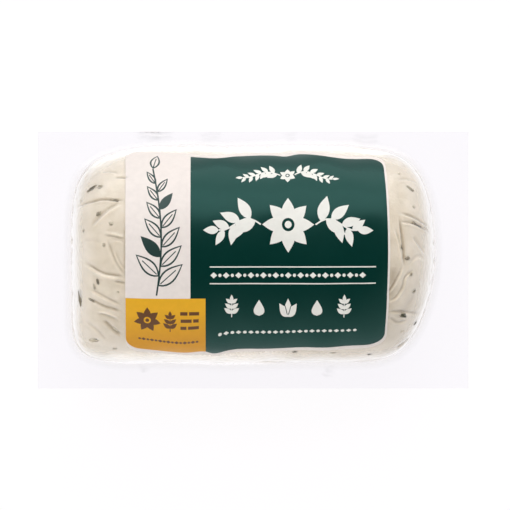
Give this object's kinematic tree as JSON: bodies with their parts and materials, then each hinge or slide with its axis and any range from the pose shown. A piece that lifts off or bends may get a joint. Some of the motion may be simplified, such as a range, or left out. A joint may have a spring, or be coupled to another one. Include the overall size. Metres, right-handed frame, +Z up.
{
  "type": "packed goat cheese log",
  "caption": "Soft herbed goat cheese log in a clear vacuum film pack, with a flat sealed rim all round and a printed front label.",
  "frame": {"origin": "middle of the rim rectangle, dropped to the flat spot that the pack rests on", "axes": "+X along the log, +Y across it toward the label's top edge, +Z up through the label"},
  "size_m": [0.095, 0.0566, 0.0404],
  "materials": {
    "cheese": "soft and matte, with fine grain",
    "film": "clear and glossy, with fine creases",
    "herbs": "dry leaf",
    "label": "semi-gloss print"
  },
  "bodies": {
    "root": {"sealed_pack": "cheese", "label": "label"}
  },
  "joints": []
}
